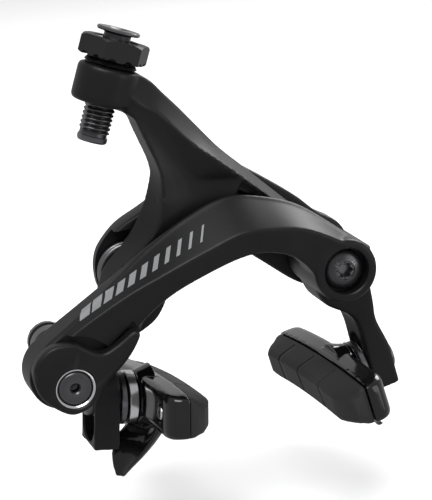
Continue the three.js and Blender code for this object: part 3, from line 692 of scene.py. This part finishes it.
def makeAdjustingNut():
    a = adjuster
    corner = a["nutFlats"] / math.sqrt(3)
    low, high = a["nutFrom"], a["nutTo"]
    hexagon = [(corner * math.cos(k * math.pi / 3), corner * math.sin(k * math.pi / 3)) for k in range(6)]
    rings = [[barrelPlace @ Vector((x, y, h)) for x, y in hexagon] for h in (low, high)]
    nut = newPiece("adjuster_nut", *skin(rings))
    flats = a["nutFlats"] / 2
    dome = turned([(0, low - 1), (flats - 0.3, low - 1), (flats + 0.35, low), (corner + 0.4, low + 0.7),
                   (corner + 0.4, high - 0.9),
                   (flats + 0.3, high), (flats - 0.4, high + 1), (0, high + 1)], 96, barrelPlace)
    carve(nut, [dome], "INTERSECT")
    bore = turned([(0, low - 2), (4.6, low - 2), (4.6, low), (3.8, low + 0.5), (3.8, high - 0.8),
                   (5.0, high - 0.2), (5.0, high + 2),
                   (0, high + 2)], 72, barrelPlace)
    tools = [bore]
    for k in range(a["notches"]):
        turn = Matrix.Rotation(2 * math.pi * (k + 0.5) / a["notches"], 4, "Z")
        lying = Matrix.Translation((0, 0, low - 0.35)) @ Matrix.Rotation(math.pi / 2, 4, "Y")
        tools.append(turned([(0, 5.0), (1.05, 5.0), (1.05, 10), (0, 10)], 24, barrelPlace @ turn @ lying))
    carve(nut, tools)
    bevelled(nut, 0.16, 2, 35)
    return fitted(softEdges(nut), "adjusting_nut", ["adjusting_nut"], satinPaint)


def makeSeatRing():
    a = adjuster
    r, low, high = a["ringR"], a["ringFrom"], a["ringTo"]
    profile = [(3.8, low), (r - 0.2, low), (r, low + 0.2), (r - 0.1, high - 0.7), (r - 0.35, high - 0.25),
               (r - 0.8, high), (3.8, high)]
    ring = newPiece("adjuster_ring", *turned(profile, 96, barrelPlace))
    return fitted(softEdges(ring), "left_arm", ["adjuster_seat_ring"], satinPaint)


makeAdjustingBolt()
makeAdjustingNut()
makeSeatRing()
print("adjuster made")


# quick-release lever, its axle and the bright ring around it
lever = {
    "outline": [
        (-50.6, -30.2), (-49.5, -27.0), (-46.8, -24.7), (-44.1, -24.1), (-40.8, -24.3), (-38.7, -25.5),
        (-36.5, -26.7), (-34.3, -26.9),
        (-31.2, -25.2), (-28.4, -23.2), (-27.0, -23.1), (-26.6, -24.4), (-28.6, -28.0), (-31.3, -31.0),
        (-34.4, -34.0), (-37.4, -38.2),
        (-40.3, -39.9), (-43.2, -40.0), (-46.8, -37.8), (-49.5, -34.8),
    ],
    "front": -30.4,
    "back": -27.2,
    "edge": 0.9,
    "pocketR": 4.55,
    "ringR": 4.42,
    "ringBoreR": 3.95,
    "headR": 3.7,
    "pinR": 2.5,
    "pinEnd": -14.9,
    "socketR": 1.0,
}


# an outline moved inwards, for a softened rim
def inset(outline, amount):
    count = len(outline)
    moved = []
    for i in range(count):
        before, here, after = (np.array(outline[(i + k) % count]) for k in (-1, 0, 1))
        along = after - before
        along /= np.linalg.norm(along)
        moved.append(here + amount * np.array((along[1], -along[0])))
    return moved


def roundedSlab(outline, front, back, edge, levels=5):
    rings = []
    for k in range(levels + 1):
        a = math.pi / 2 * k / levels
        rings.append([(x, front + edge * (1 - math.sin(a)), z)
                      for x, z in inset(outline, edge * (1 - math.cos(a)))])
    rings = rings[::-1]
    for k in range(4):
        a = math.pi / 2 * k / 3
        rings.append([(x, back - 0.3 * (1 - math.sin(a)), z)
                      for x, z in inset(outline, 0.3 * (1 - math.cos(a)))])
    return skin(rings)


def makeLever():
    outline = [tuple(p) for p in eased(lever["outline"], 6, around=True)]
    plate = newPiece("release_lever", *roundedSlab(outline, lever["front"], lever["back"], lever["edge"]))
    x, z = layout["leverAxle"]
    front, pocket, ringR, bore = lever["front"], lever["pocketR"], lever["ringR"], lever["ringBoreR"]
    sunk = turned([(0, front - 2), (pocket + 0.35, front - 2), (pocket + 0.2, front), (pocket, front + 0.2),
                   (pocket, front + 1.4), (2.8, front + 1.41), (2.8, -20), (0, -20)], 96, alongY(x, z))
    carve(plate, [sunk])
    fitted(softEdges(plate, 25), "qr_lever", ["qr_lever"], satinPaint)

    r, headR, pinR, pinEnd = lever["socketR"], lever["headR"], lever["pinR"], lever["pinEnd"]
    profile = [(0, front + 2.9), (r * 0.9, front + 2.6), (r, front + 0.7), (r + 0.3, front + 0.36),
               (headR - 0.6, front + 0.25), (headR - 0.25, front + 0.3), (headR, front + 0.55),
               (headR, front + 1.1), (pinR, front + 1.11), (pinR, pinEnd), (0, pinEnd)]
    axle = newPiece("lever_axle_pin", *turned(profile, 96, alongY(x, z)))
    fitted(softEdges(axle), "qr_lever", ["lever_axle"], blackSteel)

    ringProfile = [(bore, front + 0.4), (ringR - 0.22, front + 0.15), (ringR, front + 0.2),
                   (ringR, front + 1.2), (bore, front + 1.2)]
    ring = newPiece("lever_bright_ring", *turned(ringProfile, 96, alongY(x, z)))
    fitted(softEdges(ring), "qr_lever", [], brightSteel)


makeLever()
print("lever made")


# pivot bolts with domed heads and six-lobed sockets
pivotBolt = {"shankR": 3.0, "headR": 4.7, "headThick": 2.4, "lobeR": 1.95, "lobeDepth": 0.42}


def lobedSocket(place, front, depth):
    outline = []
    for k in range(72):
        a = 2 * math.pi * k / 72
        r = pivotBolt["lobeR"] - pivotBolt["lobeDepth"] * (0.5 - 0.5 * math.cos(6 * a))
        outline.append((r * math.cos(a), r * math.sin(a)))
    rings = [[place @ Vector((x * k, y * k, h)) for x, y in outline]
             for h, k in ((front - 1, 1.0), (front + depth, 0.96))]
    return skin(rings)


def makePivotBolt(side, seat):
    p = pivotBolt
    x, z = side * layout["pivotX"], layout["pivotZ"]
    name = "right" if side > 0 else "left"
    top = seat - p["headThick"]
    profile = [(0, top)]
    for k in range(1, 9):
        a = math.pi / 2 * k / 8
        profile.append((p["headR"] * math.sin(a), top + 1.9 * (1 - math.cos(a))))
    profile += [(p["headR"], seat - 0.4), (p["headR"] - 0.1, seat - 0.3), (p["shankR"], seat - 0.29),
                (p["shankR"], -2.2), (2.6, -1.9), (0, -1.9)]
    bolt = newPiece(f"{name}_pivot_screw", *turned(profile, 72, alongY(x, z)))
    rim = turned([(0, top - 1), (2.6, top - 1), (2.3, top + 0.25), (2.2, top + 0.5), (0, top + 0.5)], 48,
                 alongY(x, z))
    carve(bolt, [rim, lobedSocket(alongY(x, z), top, 2.0)])
    return fitted(softEdges(bolt), "bridge", [f"{name}_pivot_bolt"], blackSteel)


makePivotBolt(1, layout["archFront"] + 3.4)
makePivotBolt(-1, layout["armFront"] + 3.0)
print("pivot bolts made")


# brake shoes, drawn on the shoe bolt and stood on each leg
shoe = {
    "back": 4.9,
    "front": 9.9,
    "top": 5.4,
    "foot": -4.4,
    "near": -25.5,
    "far": 34.5,
    "padFace": 16.2,
    "screwY": -19.0,
    "grooves": (-12.0, 2.0, 16.0),
    "moundR": 7.2,
    "voxel": 0.3,
    "softening": 8,
}


def drop(y):
    return -y * y / (2 * layout["rimRadius"])


# plan of the holder: square to the pad, rounded towards the leg
def holderRings():
    s = shoe
    near, far = s["near"], s["far"]
    rings = []
    stations = [near + d for d in (0, 0.25, 0.8, 1.6, 2.6, 4, 6, 9)]
    stations += list(np.linspace(near + 12, far - 12, 14))
    stations += [far - d for d in (9, 6, 4, 2.6, 1.6, 0.8, 0.25, 0)]
    for y in stations:
        end = min(y - near, far - y)
        curve = 1 - min(end / 4.4, 1.0)
        backAt = s["back"] + 3.4 * (1 - math.sqrt(max(0.0, 1 - curve * curve)))
        lift = 0.7 * curve**3
        top, foot = s["top"] - lift + drop(y), s["foot"] + lift + drop(y)
        rings.append([
            (s["front"], y, foot), (backAt + 1.2, y, foot), (backAt + 0.35, y, foot + 0.4),
            (backAt, y, foot + 1.4),
            (backAt, y, top - 1.4), (backAt + 0.35, y, top - 0.4), (backAt + 1.2, y, top),
            (s["front"], y, top),
        ])
    return skin(rings)


# the wheel guide is a blade that turns as it goes down, away from the rim
guideRows = [
    # depth as a share, leg-side corner x and y, rim-side corner x and y, thickness
    [-0.14, 5.2, 4.4, 8.8, -7.0, 2.2],
    [0.14, 4.9, 4.2, 8.9, -6.8, 2.0],
    [0.37, 1.4, 3.4, 7.8, -5.4, 1.8],
    [0.62, 0.2, 2.4, 5.6, -3.8, 1.6],
    [0.84, 0.1, 1.2, 3.2, -2.2, 1.4],
    [1.0, 0.6, 0.2, 1.6, -1.0, 1.2],
]


def guideRings(leg):
    rings = []
    for part, u1, y1, u2, y2, thick in eased(guideRows, 5):
        z = shoe["foot"] - part * leg["guideDrop"]
        u1 += leg["closer"]
        along = np.array((u2 - u1, y2 - y1))
        length = np.linalg.norm(along)
        along /= length
        across = np.array((along[1], -along[0])) * thick / 2
        ring = []
        for share, bow, lift in ((0, 0, 1), (0.08, 0.2, 1.25), (0.3, 0.8, 0.8), (0.5, 1.0, 0.7),
                                 (0.7, 0.8, 0.8), (0.92, 0.2, 1.25), (1, 0, 1)):
            at = np.array((u1, y1)) + along * length * share
            ring.append((at, bow, lift))
        outer = [at - across * lift - across * bow * 0.7 for at, bow, lift in ring]
        inner = [at + across * lift - across * bow * 0.7 for at, bow, lift in ring]
        rings.append([(p[0], p[1], z) for p in outer + inner[::-1]])
    return skin(rings)


def makeHolder(side):
    s = shoe
    name = "right" if side > 0 else "left"
    mound = turned([(0, 4.35), (5.9, 4.35), (6.2, 4.6), (6.4, 5.4), (s["moundR"], 7.2),
                    (s["moundR"] + 0.5, s["front"] - 1.6), (0, s["front"] - 1.6)],
                   72, aroundBolt)
    holder = castPiece(f"{name}_holder", [holderRings(), mound, guideRings(layout["legs"][side])],
                       s["voxel"], s["softening"])
    screwAt = Matrix.Translation((0, s["screwY"], 0)) @ aroundBolt
    tools = [
        turned([(0, 3), (3.2, 3), (3.2, 9), (0, 9)], 48, aroundBolt),
        turned([(0, 3), (2.3, 3), (2.2, 4.9), (2.0, 5.1), (2.0, 8), (0, 8)], 40, screwAt),
    ]
    carve(holder, tools)
    standOnLeg(holder, side)
    return fitted(softEdges(holder), f"{name}_shoe", [f"{name}_shoe_holder"], glossPlastic)


def standOnLeg(piece, side):
    stand = shoePlace(side)
    for k in range(3):
        stand[k][3] *= mm
    piece.data.transform(stand)
    faceOut(piece)


def padRings():
    s = shoe
    base, face = s["front"] + 0.3, s["padFace"]
    near, far = s["near"] + 0.6, s["far"] - 0.6
    stations = [near + d for d in (0, 0.3, 0.9, 2, 4, 6.2)] + list(np.linspace(near + 8, far - 8, 30))
    stations += [far - d for d in (6.2, 4, 2, 0.9, 0.3, 0)]
    rings = []
    for y in stations:
        end = min(y - near, far - y)
        slope = max(0.0, 1 - end / 6.2)
        reachOut = (face - base) * (1 - 0.5 * slope**1.3)
        risen = 2.0 * max(0.0, 1 - (far - y) / 10) ** 1.5
        pinch = 0.5 * max(0.0, 1 - end / 0.9)
        top, foot = s["top"] - 0.7 - pinch + drop(y), s["foot"] + 0.3 + pinch + drop(y) + risen
        x = base + reachOut
        rings.append([
            (base, y, foot), (base + 0.5, y, foot), (base + 1.2, y, foot + 0.15), (x - 1.3, y, foot + 0.7),
            (x - 0.5, y, foot + 1.0),
            (x, y, foot + 1.7), (x, y, top - 2.3), (x - 0.5, y, top - 1.6), (x - 1.3, y, top - 1.2),
            (base + 1.2, y, top - 0.25),
            (base + 0.5, y, top), (base, y, top),
        ])
    return skin(rings)


def makePad(side):
    s = shoe
    name = "right" if side > 0 else "left"
    pad = newPiece(f"{name}_pad", *padRings())
    tools = []
    for y in s["grooves"]:
        lift = Matrix.Translation((0, y, drop(y)))
        lean = lift @ Matrix.Rotation(-0.3, 4, "X") @ Matrix.Rotation(0.12, 4, "Z")
        x1, x2, half = s["padFace"] - 1.7, s["padFace"] + 2, 0.6
        corners = [(x1, -0.32), (x2, -half), (x2, half), (x1, 0.32)]
        rings = [[lean @ Vector((x, w, z)) for x, w in corners] for z in (-12, 12)]
        tools.append(skin(rings))
        topCut = [(s["front"] + 1.2, -0.3), (s["padFace"] + 2, -0.3), (s["padFace"] + 2, 0.3),
                  (s["front"] + 1.2, 0.3)]
        rings = [[lean @ Vector((x, w, z)) for x, w in topCut] for z in (s["top"] - 1.9, 12)]
        tools.append(skin(rings))
    carve(pad, tools)
    bevelled(pad, 0.18, 2, 40)
    standOnLeg(pad, side)
    return fitted(softEdges(pad, 28), f"{name}_shoe", [f"{name}_brake_pad"], padRubber)


def makeShoeHardware(side):
    name = "right" if side > 0 else "left"
    place = legPlace(side) @ aroundBolt
    mount = f"{name}_shoe_mount"
    tip = 8.6 - layout["legs"][side]["closer"]
    top = 4.1 - layout["legs"][side]["closer"]

    bolt = newPiece(f"{name}_shoe_screw", *turned(
        [(0, -7.2), (2.8, -7.2), (3.2, -7.0), (3.4, -6.6), (3.4, -5.0), (3.3, -4.9), (2.9, -4.9),
         (2.9, tip - 0.4), (2.5, tip), (0, tip)], 72, place))
    hexagon = [(2.3 * math.cos(k * math.pi / 3), 2.3 * math.sin(k * math.pi / 3)) for k in range(6)]
    socket = skin([[place @ Vector((x, y, h)) for x, y in hexagon] for h in (-8.7, -5.7)])
    rim = turned([(0, -8.4), (2.9, -8.4), (2.25, -6.9), (0, -6.9)], 48, place)
    carve(bolt, [socket, rim])
    fitted(softEdges(bolt), mount, [f"{name}_shoe_bolt"], dullSteel)

    washers = [
        ("outer_ring", "outer_washer", dullSteel, "steel",
         [(3.2, -4.6), (4.15, -4.6), (4.3, -4.45), (4.3, -3.75), (4.15, -3.6), (3.2, -3.6)]),
        ("cup_ring", "concave_washer", blackSteel, "dark_metal",
         [(3.2, 0.3), (5.7, 0.3), (5.9, 0.5), (6.0, 1.45), (5.8, 1.6), (4.6, 1.25), (3.2, 0.9)]),
        ("dome_ring", "convex_washer", brightSteel, "bright_washer",
         [(3.2, 1.25), (4.6, 1.55), (5.8, 2.0), (6.1, 2.08), (6.2, 2.18), (6.1, top - 0.08), (5.9, top),
          (3.2, top)]),
    ]
    for label, node, finish, slotName, profile in washers:
        ring = newPiece(f"{name}_{label}", *turned(profile, 96, place))
        fitted(softEdges(ring), mount, [f"{name}_{node}"], finish)

    at = shoePlace(side) @ Matrix.Translation((0, shoe["screwY"], 0)) @ aroundBolt
    screw = newPiece(f"{name}_fixing_screw", *turned([(0, 4.8), (1.2, 4.8), (1.5, 4.95), (1.6, 5.2),
                                                      (1.6, 7.7), (0, 7.7)], 48, at))
    hexagon = [(0.85 * math.cos(k * math.pi / 3), 0.85 * math.sin(k * math.pi / 3)) for k in range(6)]
    carve(screw, [skin([[at @ Vector((x, y, h)) for x, y in hexagon] for h in (4, 6.2)])])
    fitted(softEdges(screw), f"{name}_shoe", [f"{name}_pad_screw"], brightSteel)


for side in (-1, 1):
    makeHolder(side)
    makePad(side)
    makeShoeHardware(side)
print("shoes made")


# the bridge behind both arms, and the spring coil in a step of its left end
bridge = {
    "outline": [
        (-26.0, -23.2), (-28.4, -20.6), (-29.4, -17.6), (-29.5, -13.6), (-28.2, -9.9), (-24.2, -5.4),
        (-18.4, -2.0), (-11.0, 2.4),
        (-5.0, 6.3), (0.0, 8.0), (6.1, 5.3), (13.8, 0.5), (18.7, -2.9), (23.4, -6.9), (28.4, -9.8),
        (31.0, -14.0), (30.6, -18.8),
        (27.6, -23.0), (22.6, -24.6), (17.6, -23.0), (10.0, -17.6), (4.0, -13.3), (0.0, -11.6),
        (-4.0, -13.3), (-10.0, -17.6),
        (-17.4, -22.8), (-21.8, -24.4),
    ],
    "front": -8.0,
    "back": -2.3,
    "edge": 0.8,
    "coilR": 6.4,
    "wireR": 0.62,
    "turns": 2,
    "rise": 1.3,
}


def makeBridge():
    b = bridge
    outline = [tuple(p) for p in eased(b["outline"], 5, around=True)]
    plate = newPiece("rear_bridge", *roundedSlab(outline, b["front"], b["back"], b["edge"]))
    front, back = b["front"], b["back"]
    px, pz = layout["pivotX"], layout["pivotZ"]
    bay = turned([(4.8, front - 1), (10, front - 1), (10, front + 3.4), (5.1, front + 3.4),
                  (4.8, front + 3.1)], 72, alongY(-px, pz))
    slope = math.atan2(-pz, px)
    edge = 8.35
    x, z = -px / 2 + math.sin(slope) * edge, pz / 2 - math.cos(slope) * edge
    screwPlace = Matrix((
        (math.cos(slope), 0, math.sin(slope), x),
        (0, -1, 0, (front + back) / 2),
        (math.sin(slope), 0, -math.cos(slope), z),
        (0, 0, 0, 1),
    ))
    tools = [
        boreTool(0, 0, 3.3, front, back, front + 3, 4.7),
        boreTool(px, pz, 3.3, front, back),
        boreTool(-px, pz, 3.3, front, back),
        bay,
        turned([(0, -6.5), (1.8, -6.5), (1.8, 3), (0, 3)], 32, screwPlace),
    ]
    carve(plate, tools)
    fitted(softEdges(plate), "bridge", ["back_bridge"], satinPaint)

    rings = []
    for k in range(b["turns"] * 72 + 1):
        a = 2 * math.pi * k / 72
        radial = Vector((math.cos(a), 0, math.sin(a)))
        middle = Vector((-px, front + b["rise"] * k / 72, pz)) + radial * b["coilR"]
        around = [2 * math.pi * j / 14 for j in range(14)]
        rings.append([middle + (radial * math.cos(c) + Vector((0, math.sin(c), 0))) * b["wireR"]
                      for c in around])
    coil = newPiece("spring_coil", *skin(rings))
    fitted(softEdges(coil, 50), "bridge", ["return_spring"], dullSteel)


makeBridge()
print("bridge and spring made")


# the nodes kept from the frame get a finish each
keptFinishes = {
    "centre_bolt": blackSteel,
    "toothed_washer": brightSteel,
    "left_thrust_washer": dullSteel,
    "right_thrust_washer": dullSteel,
    "left_pivot_bush": bronze,
    "right_pivot_bush": bronze,
    "centring_screw": blackSteel,
    "roller_pin": dullSteel,
    "roller": dullSteel,
    "clamp_crank": blackSteel,
    "cable_clamp_plate": dullSteel,
    "cable_clamp_bolt": dullSteel,
}
for name, finish in keptFinishes.items():
    nodes[name].data.materials.clear()
    nodes[name].data.materials.append(finish)
print("kept nodes finished")


# floor, light and camera
studio = {"floorZ": -78.0, "floorSize": 12.0, "world": 0.55, "key": 7.0, "rim": 5.0, "fill": 1.6}


def makeFloor():
    size = studio["floorSize"] / mm / 2
    floor = newPiece("floor", [(-size, -size, studio["floorZ"]), (size, -size, studio["floorZ"]),
                               (size, size, studio["floorZ"]),
                               (-size, size, studio["floorZ"])], [(0, 1, 2, 3)])
    pale = bpy.data.materials.new("paleFloor")
    pale.use_nodes = True
    shader = pale.node_tree.nodes["Principled BSDF"]
    shader.inputs["Base Color"].default_value = (0.93, 0.93, 0.93, 1)
    shader.inputs["Roughness"].default_value = 0.9
    shader.inputs["Specular IOR Level"].default_value = 0.1
    floor.data.materials.append(pale)
    floor.visible_glossy = False
    return floor


def makeLight(name, at, aim, size, watts):
    data = bpy.data.lights.new(name, "AREA")
    data.shape = "RECTANGLE"
    data.size, data.size_y = size
    data.energy = watts
    light = bpy.data.objects.new(name, data)
    light.location = at
    light.rotation_euler = (Vector(aim) - Vector(at)).to_track_quat("-Z", "Y").to_euler()
    scene.collection.objects.link(light)
    return light


def makeCamera():
    data = bpy.data.cameras.new("camera")
    data.sensor_fit = "VERTICAL"
    data.sensor_height = 36.0
    data.sensor_width = 36.0 * 432 / 500
    data.lens = 140.94
    data.clip_start, data.clip_end = 0.01, 50
    camera = bpy.data.objects.new("camera", data)
    at = Vector((-133.56, -421.32, 105.07)) * mm
    aim = Vector((-1.56, -7.71, -13.29)) * mm
    look = (aim - at).normalized()
    sideways = look.cross(Vector((0, 0, 1))).normalized()
    up = sideways.cross(look)
    roll = math.radians(2.0)
    upRolled = up * math.cos(roll) + sideways * math.sin(roll)
    sidewaysRolled = look.cross(upRolled)
    turn = Matrix((sidewaysRolled, upRolled, -look)).transposed()
    camera.matrix_world = Matrix.Translation(at) @ turn.to_4x4()
    scene.collection.objects.link(camera)
    scene.camera = camera


makeFloor()
world = bpy.data.worlds.new("studio")
world.use_nodes = True
world.node_tree.nodes["Background"].inputs["Color"].default_value = (1, 1, 1, 1)
world.node_tree.nodes["Background"].inputs["Strength"].default_value = studio["world"]
scene.world = world
makeLight("keySoftbox", (-0.25, -0.35, 0.75), (0, 0, -0.02), (0.6, 0.45), studio["key"])
makeLight("rimSoftbox", (0.55, 0.45, 0.5), (0, 0, -0.02), (0.5, 0.4), studio["rim"])
makeLight("fillSoftbox", (0.6, -0.6, 0.1), (0, 0, -0.02), (0.5, 0.5), studio["fill"])
makeCamera()
scene.view_settings.view_transform = "Standard"
print("studio made")
